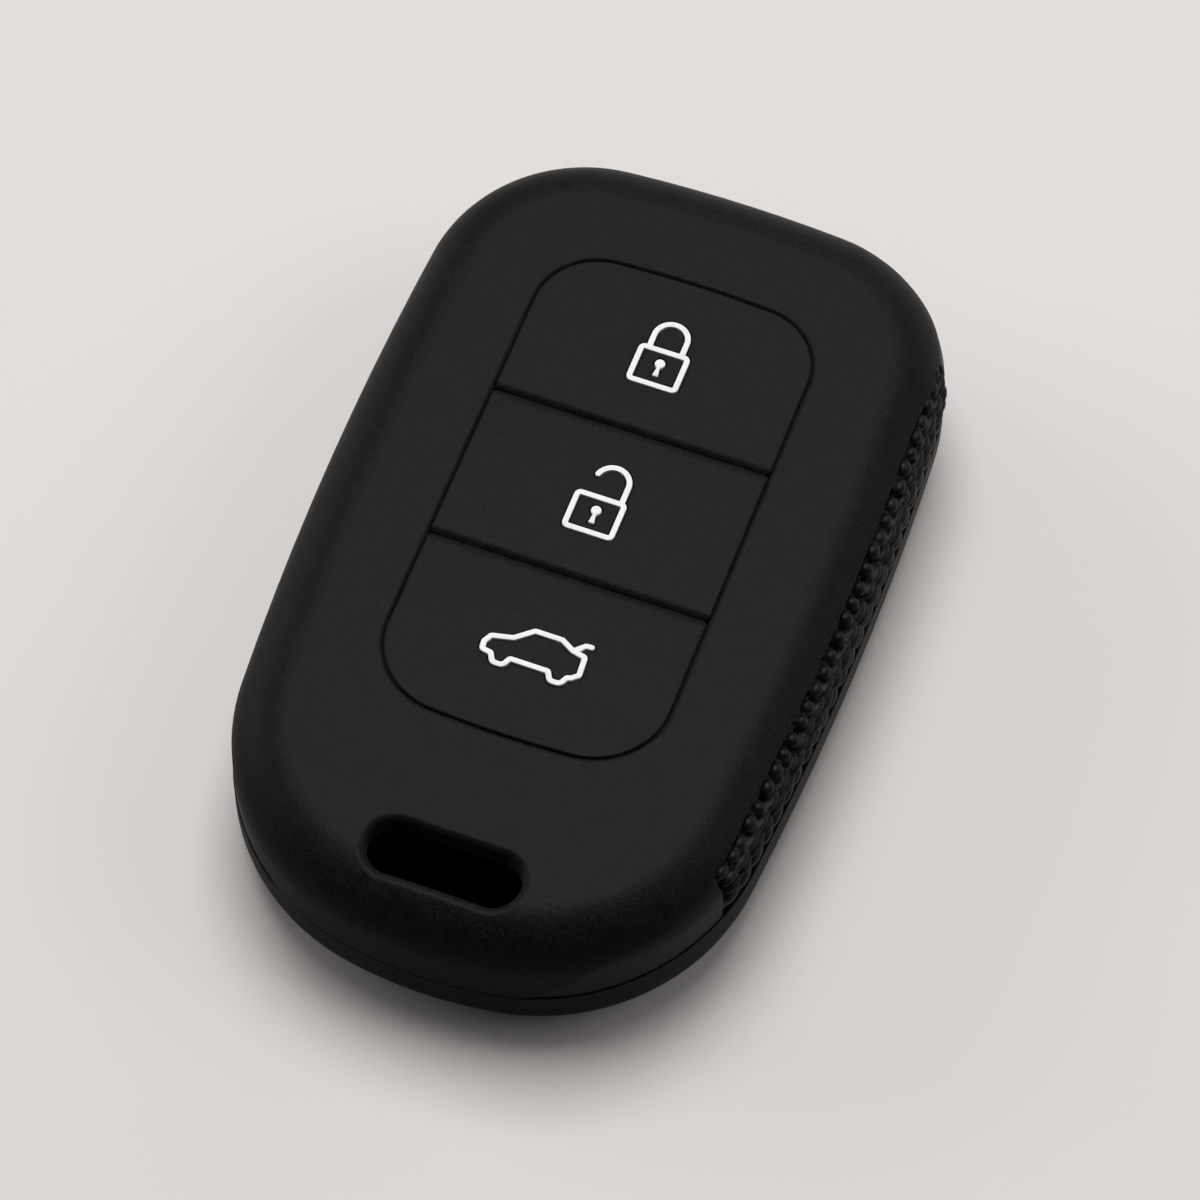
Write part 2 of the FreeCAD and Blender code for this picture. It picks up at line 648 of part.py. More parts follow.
def keyhole(cover, middle, grow):
    """Returns a padlock's keyhole as a flat face, moved out by an amount."""
    radius = cover.size("keyhole_radius")
    centre = Vector(0, middle + cover.size("keyhole_lift"), 0)
    neck_half = cover.size("keyhole_neck") / 2
    foot_half = cover.size("keyhole_foot") / 2
    neck = math.sqrt(radius ** 2 - neck_half ** 2)
    right = centre + Vector(neck_half, -neck, 0)
    left = centre + Vector(-neck_half, -neck, 0)
    foot = centre + Vector(0, -cover.size("keyhole_length"), 0)
    edges = [
        Part.Arc(right, centre + Vector(0, radius, 0), left).toShape(),
        Part.LineSegment(left, foot + Vector(-foot_half, 0, 0)).toShape(),
        Part.LineSegment(foot + Vector(-foot_half, 0, 0), foot + Vector(foot_half, 0, 0)).toShape(),
        Part.LineSegment(foot + Vector(foot_half, 0, 0), right).toShape(),
    ]
    outline = Part.Wire(edges)
    return Part.Face(outline.makeOffset2D(grow) if grow else outline)


def car(cover, middle, width):
    """Returns the flat faces of a car's side view with its boot lid raised, drawn in line."""
    half = cover.size("car_length") / 2
    roof = cover.size("car_height") / 2
    wheel = cover.size("wheel_width") / 2
    wheel_drop = cover.size("wheel_drop")
    wheel_round = cover.size("wheel_round")
    bend = cover.size("car_bend")

    def spot(along, up):
        """Places a point by shares of the car's half length and half height."""
        return Vector(along * half, middle + up * roof, 0)

    profile = [
        spot(-0.93, 0.02), spot(-0.5, 0.27), spot(-0.15, 1.0), spot(0.42, 1.0),
        spot(0.7, 0.6), spot(0.97, 0.46), spot(1.0, -0.6), spot(0.86, -0.9),
    ]
    bends = [bend] * len(profile)
    sill = -0.9
    for axle in (0.6, -0.6):
        hub = spot(axle, sill)
        profile += [
            hub + Vector(wheel, 0, 0), hub + Vector(0.55 * wheel, -wheel_drop, 0),
            hub + Vector(-0.55 * wheel, -wheel_drop, 0), hub + Vector(-wheel, 0, 0),
        ]
        bends += [bend, wheel_round, wheel_round, bend]
    profile += [spot(-1.0, -0.82), spot(-1.02, -0.4)]
    bends += [bend, bend]
    body = stroke(rounded_path(profile, bends), width, True)
    lid = [spot(0.7, 0.6), spot(0.9, 1.08), spot(1.02, 1.1)]
    return [body, stroke(rounded_path(lid, [0, bend, 0], False), width, False)]


def icon_faces(cover, button, grow):
    """Returns the flat faces of a button's icon by node name, moved out by an amount."""
    width = cover.size("icon_stroke") + 2 * grow
    middle = sum(button_limits(cover)[button]) / 2 - cover.size(button + "_drop")
    if button == "trunk":
        return {"trunk_icon": car(cover, middle, width)}
    return {
        button + "_icon": padlock(cover, middle, button == "unlock", width),
        button + "_keyhole": [keyhole(cover, middle, grow)],
    }


def raise_faces(cover, name, faces, length, base):
    """Raises flat faces by one formula from the height of another and joins them."""
    parts = []
    for index, face in enumerate(faces, start=1):
        outline = cover.feature("%s_face_%d" % (name, index), face)
        parts.append(cover.extrude("%s_part_%d" % (name, index), outline, length, base))
    return parts[0] if len(parts) == 1 else cover.fuse(name, parts)


def make_crease(cover, groove):
    """Makes the block that hollows two buttons' edges along a cross groove, rolled on one side."""
    top = cover.size("cover_height")
    depth = cover.size("crease_depth")
    floor = Vector(cover.size(groove), top - depth, 0)
    roll = floor + Vector(cover.size("crease_roll"), depth, 0)
    slope = floor + Vector(-cover.size("crease_slope"), depth, 0)
    over = Vector(0, top, 0)
    chord = unit(roll - floor)
    bulge = (floor + roll) * 0.5 + Vector(-chord.y, chord.x, 0) * cover.size("crease_bulge")
    edges = [Part.Arc(roll, bulge, floor).toShape()]
    corners = [floor, slope, slope + over, roll + over, roll]
    edges += [Part.LineSegment(*ends).toShape() for ends in zip(corners, corners[1:])]
    outline = cover.sketch(groove + "_crease_outline", edges, upright=True)
    return cover.extrude_across(groove + "_crease", outline)


def make_button(cover, button, creases):
    """Makes a button with its stem and boss, the icon set into it and the web that carries it."""
    top = "Sizes.cover_height"
    far, near = button_limits(cover)[button]
    edge_outline = cover.sketch(button + "_outline", button_outline(cover, button, 0))
    stem_edges = button_outline(cover, button, -cover.size("stem_inset"))
    stem_outline = cover.sketch(button + "_stem_outline", stem_edges)
    edge = cover.extrude(button + "_edge", edge_outline, "Sizes.button_edge", top + " - Sizes.button_edge")
    stem = cover.extrude(button + "_stem", stem_outline, "Sizes.stem_depth", top + " - Sizes.stem_depth")
    boss = cover.doc.addObject("Part::Cylinder", button + "_boss")
    boss.Placement.Base.y = (far + near) / 2
    cover.bind(
        boss,
        Radius="Sizes.boss_diameter / 2",
        Height="Sizes.boss_length + Sizes.stem_depth - Sizes.button_edge",
        Placement__Base__z=top + " - Sizes.stem_depth - Sizes.boss_length",
    )
    plain = cover.fuse(button + "_plain", [edge, stem, boss])

    def radius(edge):
        """Rounds the button's upper edge."""
        return cover.size("button_round") if at_height(edge, cover.size("cover_height")) else 0

    solid = cover.round_edges(button + "_rounded", plain, radius)
    for groove, crease in creases.items():
        if cover.size(groove) in (far, near):
            solid = cover.combine("Cut", "_".join((button, groove, "creased")), solid, crease)
    floor = top + " - Sizes.icon_sink"
    for node, faces in icon_faces(cover, button, cover.size("icon_gap")).items():
        channel = raise_faces(cover, node + "_channel", faces, "2 * Sizes.icon_sink", floor)
        solid = cover.combine("Cut", node + "_bed", solid, channel)
    cover.piece(button + "_button", solid)
    for node, faces in icon_faces(cover, button, 0).items():
        cover.piece(node, raise_faces(cover, node, faces, "Sizes.icon_sink + Sizes.icon_raise", floor))
    make_web(cover, button, stem_outline)


def make_web(cover, button, stem_outline):
    """Makes the sloping web between a button's stem and its window."""
    rim = "Sizes.cover_height - Sizes.web_drop"
    window_edges = button_outline(cover, button, -cover.size("window_inset"))
    funnels = []
    for name, drop in (("upper", "0"), ("lower", "Sizes.web_thickness")):
        sections = []
        for place, edges, fall in (
            ("rim", window_edges, "0"),
            ("foot", button_outline(cover, button, -cover.size("stem_inset")), "Sizes.web_fall"),
        ):
            section = cover.sketch("_".join((button, name, place)), edges)
            cover.bind(section, Placement__Base__z="%s - (%s) - (%s)" % (rim, drop, fall))
            sections.append(section)
        funnel = cover.doc.addObject("Part::Loft", "_".join((button, name, "funnel")))
        funnel.Sections = sections
        funnel.Solid = True
        funnel.Ruled = True
        funnels.append(funnel)
    cover.doc.recompute()
    collar_outline = cover.sketch(button + "_collar_outline", window_edges)
    collar_foot = rim + " - Sizes.web_thickness"
    collar = cover.extrude(button + "_collar", collar_outline, "Sizes.web_thickness", collar_foot)
    filled = cover.fuse(button + "_web_filled", [funnels[1], collar])
    hollow = cover.combine("Cut", button + "_web_hollow", filled, funnels[0])
    bore = cover.extrude(button + "_web_bore", stem_outline, "Sizes.cover_height")
    cover.piece(button + "_button_web", cover.combine("Cut", button + "_web", hollow, bore))


def check(cover):
    """Stops with a message if any object failed or any piece is not a sound solid."""
    for thing in cover.doc.Objects:
        if "Invalid" in thing.State or "Error" in thing.State:
            raise RuntimeError("failed: " + thing.Name)
    for thing in cover.pieces:
        shape = thing.Shape
        if shape.isNull() or not shape.isValid() or len(shape.Solids) != 1:
            raise RuntimeError("not one sound solid: " + thing.Label)


def main():
    """Builds the cover and writes each piece to its own file."""
    cover = Cover()
    make_shells(cover)
    creases = {groove: make_crease(cover, groove) for groove in ("upper_groove", "lower_groove")}
    for button in BUTTONS:
        make_button(cover, button, creases)
    cover.doc.recompute()
    check(cover)
    os.makedirs("parts", exist_ok=True)
    for thing in cover.pieces:
        thing.Shape.exportStep("parts/%s.step" % thing.Label)
        print("%-20s %10.2f mm3" % (thing.Label, thing.Shape.Volume))


main()
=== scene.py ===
"""Dresses the key fob cover: soft black silicone, pebbled side grips, raised white icons and a plain studio.

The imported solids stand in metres, with X across the cover, Y from the key ring slot to the far end and Z up
out of the front face. Everything that is made here keeps that frame.
"""

import json
import logging
import math
import random
from dataclasses import dataclass
from enum import Enum

import bpy
from mathutils import Matrix, Vector

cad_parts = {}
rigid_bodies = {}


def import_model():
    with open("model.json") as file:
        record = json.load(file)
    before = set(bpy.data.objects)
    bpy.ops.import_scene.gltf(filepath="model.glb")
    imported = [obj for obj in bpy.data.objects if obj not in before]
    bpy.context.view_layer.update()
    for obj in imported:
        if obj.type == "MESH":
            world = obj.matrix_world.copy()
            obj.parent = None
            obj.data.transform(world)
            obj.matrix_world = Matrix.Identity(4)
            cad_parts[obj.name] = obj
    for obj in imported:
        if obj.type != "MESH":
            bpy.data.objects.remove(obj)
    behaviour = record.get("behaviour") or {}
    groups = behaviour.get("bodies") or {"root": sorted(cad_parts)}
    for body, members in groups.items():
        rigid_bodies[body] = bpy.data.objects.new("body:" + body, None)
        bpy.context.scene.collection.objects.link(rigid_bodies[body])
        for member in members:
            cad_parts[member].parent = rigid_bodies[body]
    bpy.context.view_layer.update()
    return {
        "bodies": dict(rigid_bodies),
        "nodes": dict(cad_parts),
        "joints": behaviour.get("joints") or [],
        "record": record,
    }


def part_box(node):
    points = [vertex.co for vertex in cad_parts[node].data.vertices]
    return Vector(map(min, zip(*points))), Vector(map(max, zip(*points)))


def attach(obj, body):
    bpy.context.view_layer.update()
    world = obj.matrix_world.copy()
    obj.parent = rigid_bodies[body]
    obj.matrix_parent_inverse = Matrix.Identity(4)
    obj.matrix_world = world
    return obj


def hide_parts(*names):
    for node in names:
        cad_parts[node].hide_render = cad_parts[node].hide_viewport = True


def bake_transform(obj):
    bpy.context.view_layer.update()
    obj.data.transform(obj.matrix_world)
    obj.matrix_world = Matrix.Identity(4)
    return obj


log = logging.getLogger("key_fob_cover")

Colour = tuple[float, float, float]
Span = tuple[float, float]

MM = 0.001
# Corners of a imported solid's loose triangles that lie closer than this are one corner.
MERGE_DISTANCE = 0.001 * MM
UNIT_SPAN: Span = (0.0, 1.0)


class Side(Enum):
    """A long side of the cover, valued by the sign of its X."""

    LEFT = -1
    RIGHT = 1


class Symbol(Enum):
    """A button's symbol, valued by the first word of its nodes' names."""

    LOCK = "lock"
    UNLOCK = "unlock"
    TRUNK = "trunk"


def deselect_all() -> None:
    """Deselects every object."""
    bpy.ops.object.select_all(action="DESELECT")


def activate(piece: bpy.types.Object) -> None:
    """Makes one object the only selected and the active one.

    Args:
        piece: The object to work on next.
    """
    deselect_all()
    piece.select_set(True)
    bpy.context.view_layer.objects.active = piece


def copy_solid(node: bpy.types.Object, name: str) -> bpy.types.Object:
    """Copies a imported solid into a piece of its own, with its loose triangles merged.

    Args:
        node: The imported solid's object.
        name: The new piece's name.

    Returns:
        The new piece, active, at the origin and riding on nothing yet.
    """
    piece = bpy.data.objects.new(name, node.data.copy())
    bpy.context.scene.collection.objects.link(piece)
    activate(piece)
    bpy.ops.object.mode_set(mode="EDIT")
    bpy.ops.mesh.select_all(action="SELECT")
    bpy.ops.mesh.remove_doubles(threshold=MERGE_DISTANCE)
    bpy.ops.mesh.customdata_custom_splitnormals_clear()
    bpy.ops.object.mode_set(mode="OBJECT")
    return piece


def apply_modifier(piece: bpy.types.Object, kind: str, **settings: object) -> None:
    """Adds a modifier to a piece and applies it.

    Args:
        piece: The piece to change.
        kind: The modifier's type.
        **settings: Values of the modifier's properties.
    """
    activate(piece)
    modifier = piece.modifiers.new(kind.lower(), kind)
    for key, value in settings.items():
        setattr(modifier, key, value)
    bpy.ops.object.modifier_apply(modifier=modifier.name)


def join(pieces: list[bpy.types.Object]) -> bpy.types.Object:
    """Joins pieces into the first one.

    Args:
        pieces: The pieces to join.

    Returns:
        The first piece, which now holds them all.
    """
    deselect_all()
    for piece in pieces:
        piece.select_set(True)
    bpy.context.view_layer.objects.active = pieces[0]
    bpy.ops.object.join()
    return pieces[0]


def dress(piece: bpy.types.Object, material: bpy.types.Material) -> None:
    """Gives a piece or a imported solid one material.

    Args:
        piece: The object to dress.
        material: Its finish.
    """
    if not piece.material_slots:
        piece.data.materials.append(material)
    for slot in piece.material_slots:
        slot.material = material


class Graph:
    """Adds and links the nodes of a material or of a node group."""

    # Places of a colour mix's sockets, which share their names with the node's other sockets.
    MIX_SHARE = 0
    MIX_FIRST = 6
    MIX_SECOND = 7
    MIX_RESULT = 2

    def __init__(self, tree: bpy.types.NodeTree) -> None:
        """Keeps the tree that the nodes go into."""
        self.tree = tree

    def add(self, kind: str, **inputs: object) -> bpy.types.Node:
        """Adds a node and fills its inputs.

        Args:
            kind: The node's type, without the leading ShaderNode.
            **inputs: Values or sockets by input name, with underscores for spaces.

        Returns:
            The new node.
        """
        node = self.tree.nodes.new("ShaderNode" + kind)
        for key, value in inputs.items():
            self.feed(node, key.replace("_", " "), value)
        return node

    def feed(self, node: bpy.types.Node, name: str | int, value: object) -> None:
        """Sets one input of a node to a value, or links a socket to it.

        Args:
            node: The node to feed.
            name: The input's name or place.
            value: A value or the socket of another node.
        """
        if isinstance(value, bpy.types.NodeSocket):
            self.tree.links.new(value, node.inputs[name])
        else:
            node.inputs[name].default_value = value

    def math(self, operation: str, *values: object) -> bpy.types.NodeSocket:
        """Adds a math node.

        Args:
            operation: What it does.
            *values: The values or sockets that it works on.

        Returns:
            Its result.
        """
        node = self.add("Math")
        node.operation = operation
        for index, value in enumerate(values):
            self.feed(node, index, value)
        return node.outputs[0]

    def noise(
        self, place: bpy.types.NodeSocket, scale: object, detail: float, roughness: float
    ) -> bpy.types.NodeSocket:
        """Adds a soft noise.

        Args:
            place: The coordinates that it reads.
            scale: Its scale, a value or a socket.
            detail: How many finer layers it has.
            roughness: How strong those are.

        Returns:
            The noise, from 0 to 1.
        """
        node = self.add("TexNoise", Vector=place, Scale=scale, Detail=detail, Roughness=roughness)
        return node.outputs["Fac"]

    def remap(self, value: bpy.types.NodeSocket, source: Span, target: Span) -> bpy.types.NodeSocket:
        """Maps a value from one span onto another and holds it between the ends.

        Args:
            value: The value to map.
            source: The ends of its own span.
            target: The ends of the new span.

        Returns:
            The mapped value.
        """
        node = self.add("MapRange", Value=value)
        for name, end in zip(("From Min", "From Max", "To Min", "To Max"), source + target):
            self.feed(node, name, end)
        return node.outputs["Result"]

    def scale(self, colour: Colour, factor: bpy.types.NodeSocket) -> bpy.types.NodeSocket:
        """Scales a colour by a value that changes over the surface.

        Args:
            colour: The colour to scale.
            factor: The value.

        Returns:
            The scaled colour.
        """
        node = self.add("VectorMath")
        node.operation = "SCALE"
        node.inputs[0].default_value = colour
        self.feed(node, "Scale", factor)
        return node.outputs[0]

    def mix(self, share: bpy.types.NodeSocket, first: bpy.types.NodeSocket, second: Colour) -> bpy.types.NodeSocket:
        """Blends a plain colour over another one.

        Args:
            share: How much of the plain colour shows, from 0 to 1.
            first: The colour below.
            second: The plain colour.

        Returns:
            The blended colour.
        """
        node = self.add("Mix")
        node.data_type = "RGBA"
        self.feed(node, self.MIX_SHARE, share)
        self.feed(node, self.MIX_FIRST, first)
        self.feed(node, self.MIX_SECOND, (*second, 1.0))
        return node.outputs[self.MIX_RESULT]


@dataclass(frozen=True)
class MouldedSkin:
    """What all moulded finishes share: a cloudy tone, a fine grain and specks of dust.

    Attributes:
        name: The node group's name.
        cloud: Detail and roughness of the tone's noise.
        grain: Detail and roughness of the grain's noise.
        grain_ends: The values of the grain's noise that become 0 and 1.
        speck_ends: The distances from a speck's middle, in cells, where it starts to fade and where it ends.
        bare_share: The share of the cells that hold no speck.
    """

    name: str = "moulded_skin"
    cloud: tuple[float, float] = (3.0, 0.55)
    grain: tuple[float, float] = (2.0, 0.6)
    grain_ends: Span = (0.36, 0.64)
    speck_ends: Span = (0.02, 0.055)
    bare_share: float = 0.82

    def group(self) -> bpy.types.NodeTree:
        """Builds the node group.

        Returns:
            A group with the inputs Place, Cloud Scale, Grain Scale and Dust Scale and the outputs Tone, Grain
            and Dust, each from 0 to 1.
        """
        tree = bpy.data.node_groups.new(self.name, "ShaderNodeTree")
        tree.interface.new_socket("Place", in_out="INPUT", socket_type="NodeSocketVector")
        for name in ("Cloud Scale", "Grain Scale", "Dust Scale"):
            tree.interface.new_socket(name, in_out="INPUT", socket_type="NodeSocketFloat")
        for name in ("Tone", "Grain", "Dust"):
            tree.interface.new_socket(name, in_out="OUTPUT", socket_type="NodeSocketFloat")
        graph = Graph(tree)
        given = tree.nodes.new("NodeGroupInput").outputs
        made = tree.nodes.new("NodeGroupOutput")
        grain = graph.noise(given["Place"], given["Grain Scale"], *self.grain)
        cells = graph.add("TexVoronoi", Vector=given["Place"], Scale=given["Dust Scale"], Randomness=1.0)
        speck = graph.remap(cells.outputs["Distance"], self.speck_ends, (1.0, 0.0))
        pick = graph.add("SeparateColor", Color=cells.outputs["Color"]).outputs["Red"]
        dusty = graph.math("GREATER_THAN", pick, self.bare_share)
        graph.feed(made, "Tone", graph.noise(given["Place"], given["Cloud Scale"], *self.cloud))
        graph.feed(made, "Grain", graph.remap(grain, self.grain_ends, UNIT_SPAN))
        graph.feed(made, "Dust", graph.math("MULTIPLY", speck, dusty))
        return tree


@dataclass(frozen=True)
class MouldedFinish:
    """A finish of moulded silicone.

    Attributes:
        name: The material's name.
        colour: Its linear base colour.
        tone: How far the cloudiness darkens and lightens the colour.
        speckle: How far the grain darkens and lightens the colour.
        roughness: Its middle roughness.
        roughness_spread: How far the cloudiness moves the roughness.
        grain_height: The grain's height in metres.
        dust: How strongly specks of dust show.
        gloss: The specular level, below 0.5 for a surface that scatters most of its gloss.
        sheen: The soft edge glow of a matte rubber.
        sheen_roughness: How far that glow spreads.
        cloud_scale: How many clouds there are to a metre.
        grain_scale: How many grains there are to a metre.
        dust_scale: How many cells for a speck of dust there are to a metre.
        dust_colour: The dust's linear colour.
        ior: The silicone's index of refraction.
    """

    name: str
    colour: Colour
    tone: float
    speckle: float
    roughness: float
    roughness_spread: float
    grain_height: float
    dust: float
    gloss: float
    sheen: float
    sheen_roughness: float = 0.45
    cloud_scale: float = 700.0
    grain_scale: float = 5200.0
    dust_scale: float = 900.0
    dust_colour: Colour = (0.16, 0.155, 0.15)
    ior: float = 1.43

    def material(self, skin: bpy.types.NodeTree) -> bpy.types.Material:
        """Builds the material.

        Args:
            skin: The node group of MouldedSkin.

        Returns:
            A material that reads object coordinates only.
        """
        material = bpy.data.materials.new(self.name)
        material.use_nodes = True
        graph = Graph(material.node_tree)
        shader = material.node_tree.nodes["Principled BSDF"]
        group = graph.add("Group")
        group.node_tree = skin
        graph.feed(group, "Place", graph.add("TexCoord").outputs["Object"])
        graph.feed(group, "Cloud Scale", self.cloud_scale)
        graph.feed(group, "Grain Scale", self.grain_scale)
        graph.feed(group, "Dust Scale", self.dust_scale)
        tone, grain, dust = (group.outputs[name] for name in ("Tone", "Grain", "Dust"))
        cloudy = graph.remap(tone, UNIT_SPAN, (1 - self.tone, 1 + self.tone))
        speckled = graph.remap(grain, UNIT_SPAN, (1 - self.speckle, 1 + self.speckle))
        shaded = graph.scale(self.colour, graph.math("MULTIPLY", cloudy, speckled))
        dusted = graph.mix(graph.math("MULTIPLY", dust, self.dust), shaded, self.dust_colour)
        rough = (self.roughness - self.roughness_spread, self.roughness + self.roughness_spread)
        bump = graph.add("Bump", Strength=1.0, Distance=self.grain_height, Height=grain)
        graph.feed(shader, "Base Color", dusted)
        graph.feed(shader, "Roughness", graph.remap(tone, UNIT_SPAN, rough))
        graph.feed(shader, "Normal", bump.outputs["Normal"])
        graph.feed(shader, "IOR", self.ior)
        graph.feed(shader, "Specular IOR Level", self.gloss)
        graph.feed(shader, "Sheen Weight", self.sheen)
        graph.feed(shader, "Sheen Roughness", self.sheen_roughness)
        return material


SILICONE = MouldedFinish(
    name="soft_black_silicone",
    colour=(0.0038, 0.0038, 0.0039),
    tone=0.7,
    speckle=0.75,
    roughness=0.52,
    roughness_spread=0.06,
    grain_height=0.005 * MM,
    dust=0.3,
    gloss=0.123,
    sheen=0.03,
)
GRIP = MouldedFinish(
    name="pebbled_black_silicone",
    colour=(0.0038, 0.0038, 0.0039),
    tone=0.5,
    speckle=0.6,
    roughness=0.44,
    roughness_spread=0.05,
    grain_height=0.004 * MM,
    dust=0.2,
    gloss=0.18,
    sheen=0.03,
)
ICON = MouldedFinish(
    name="white_icon_silicone",
    colour=(0.86, 0.855, 0.84),
    tone=0.04,
    speckle=0.05,
    roughness=0.48,
    roughness_spread=0.04,
    grain_height=0.002 * MM,
    dust=0.1,
    gloss=0.4,
    sheen=0.0,
)


@dataclass(frozen=True)
class FloorFinish:
    """The pale matte paper that the cover lies on.

    Attributes:
        name: The material's name.
        colour: Its linear base colour.
        mottle: How far the faint mottle darkens and lightens the colour.
        mottle_noise: Scale, detail and roughness of the mottle's noise.
        reflection_shade_shares: The shares of the colour that the cover gets back from the floor before it and
            behind it; the lower share before it is painted shade in the cover's reflections.
        reflection_shade_places: The places along Y where those two shares hold, in metres.
        roughness: The paper's roughness.
        gloss: The paper's specular level.
    """

    name: str = "pale_paper"
    colour: Colour = (0.752, 0.716, 0.694)
    mottle: float = 0.012
    mottle_noise: tuple[float, float, float] = (14.0, 4.0, 0.5)
    reflection_shade_shares: Span = (0.42, 1.0)
    reflection_shade_places: Span = (-0.04, 0.06)
    roughness: float = 0.9
    gloss: float = 0.1

    def material(self) -> bpy.types.Material:
        """Builds the material; the camera sees the whole floor in its full colour, while the cover's reflections
        see it darker before the cover, as painted shade.

        Returns:
            The floor's material.
        """
        material = bpy.data.materials.new(self.name)
        material.use_nodes = True
        graph = Graph(material.node_tree)
        shader = material.node_tree.nodes["Principled BSDF"]
        place = graph.add("TexCoord").outputs["Object"]
        noise = graph.noise(place, *self.mottle_noise)
        tone = graph.remap(noise, UNIT_SPAN, (1 - self.mottle, 1 + self.mottle))
        along = graph.add("SeparateXYZ", Vector=place).outputs["Y"]
        # Painted shade: rays other than the camera's see the floor darker before the cover than behind it, which
        # darkens the cover's reflections.
        share = graph.remap(along, self.reflection_shade_places, self.reflection_shade_shares)
        direct = graph.add("LightPath").outputs["Is Camera Ray"]
        reflected_floor_shade = graph.math("MAXIMUM", direct, share)
        graph.feed(shader, "Base Color", graph.scale(self.colour, graph.math("MULTIPLY", tone, reflected_floor_shade)))
        graph.feed(shader, "Roughness", self.roughness)
        graph.feed(shader, "Specular IOR Level", self.gloss)
        return material


@dataclass
class SideRail:
    """The cover's plan outline along one long side, in millimetres: a side arc between two corner arcs."""

    half_length: float = 35.875
    half_width: float = 22.15
    far_end_radius: float = 120.0
    near_end_radius: float = 36.0
    side_radius: float = 280.0
    widest_place: float = 6.0
    far_corner_radius: float = 13.5
    near_corner_radius: float = 18.0

    def turn(self, end_radius: float, corner_radius: float, way: int) -> float:
        """Finds where a corner arc takes over from the side arc.

        Args:
            end_radius: The plan radius of the cover's end.
            corner_radius: The plan radius of the corner.
            way: 1 for the far end, -1 for the slot end.

        Returns:
            The angle of that place on the side arc.
        """
        centre = Vector((self.half_width - self.side_radius, self.widest_place))
        end = Vector((0.0, way * (self.half_length - end_radius)))
        line = end - centre
        reach, end_reach = self.side_radius - corner_radius, end_radius - corner_radius
        along = (reach**2 - end_reach**2 + line.length_squared) / (2 * line.length)
        return math.atan2(line.y, line.x) + way * math.acos(along / reach)

    def station(self, run: float) -> tuple[Vector, Vector]:
        """Finds the point and the outward direction at a distance along the outline.

        Args:
            run: The distance from the widest place, towards the far end.

        Returns:
            The point in the XY plane and a unit vector.
        """
        centre = Vector((self.half_width - self.side_radius, self.widest_place))
        angle = run / self.side_radius
        for end_radius, corner_radius, way in (
            (self.far_end_radius, self.far_corner_radius, 1),
            (self.near_end_radius, self.near_corner_radius, -1),
        ):
            touch = self.turn(end_radius, corner_radius, way)
            if way * (angle - touch) > 0:
                corner = centre + (self.side_radius - corner_radius) * Vector((math.cos(touch), math.sin(touch)))
                angle = touch + (run - touch * self.side_radius) / corner_radius
                out = Vector((math.cos(angle), math.sin(angle)))
                return corner + corner_radius * out, out
        out = Vector((math.cos(angle), math.sin(angle)))
        return centre + self.side_radius * out, out


@dataclass(frozen=True)
class PebbleRow:
    """One row of pebbles along a grip, in millimetres.

    Attributes:
        drop: Its distance over the cover's face below the line where the face leans 45 degrees.
        half: A pebble's half sizes along the row, across it and outwards.
        top: How far a pebble stands out of the cover's face.
        pitch: The distance between two pebbles.
    """

    drop: float
    half: tuple[float, float, float]
    top: float
    pitch: float


@dataclass(frozen=True)
class PebbleField:
    """The pebbled stretch of a grip, in millimetres.

    Attributes:
        rows: Its rows of pebbles, from the top.
        trough_ends: The places along Y between which the strip is sunk.
        row_ends: The distances along the outline between which the pebbles lie.
    """

    rows: tuple[PebbleRow, ...]
    trough_ends: Span
    row_ends: Span


PEBBLES = {
    Side.LEFT: PebbleField(
        rows=(
            PebbleRow(drop=3.6, half=(1.2, 0.56, 0.5), top=0.0, pitch=1.7),
            PebbleRow(drop=5.14, half=(1.4, 0.7, 0.52), top=0.06, pitch=1.9),
        ),
        trough_ends=(-12.0, 26.4),
        row_ends=(-18.0, 20.3),
    ),
    Side.RIGHT: PebbleField(
        rows=(
            PebbleRow(drop=0.86, half=(0.72, 0.58, 0.62), top=0.2, pitch=1.62),
            PebbleRow(drop=2.08, half=(1.18, 0.37, 0.58), top=0.18, pitch=1.85),
            PebbleRow(drop=3.2, half=(1.24, 0.45, 0.58), top=0.18, pitch=1.95),
            PebbleRow(drop=4.78, half=(1.22, 0.78, 0.58), top=0.16, pitch=1.9),
        ),
        trough_ends=(-23.3, 26.4),
        row_ends=(-29.5, 20.3),
    ),
}


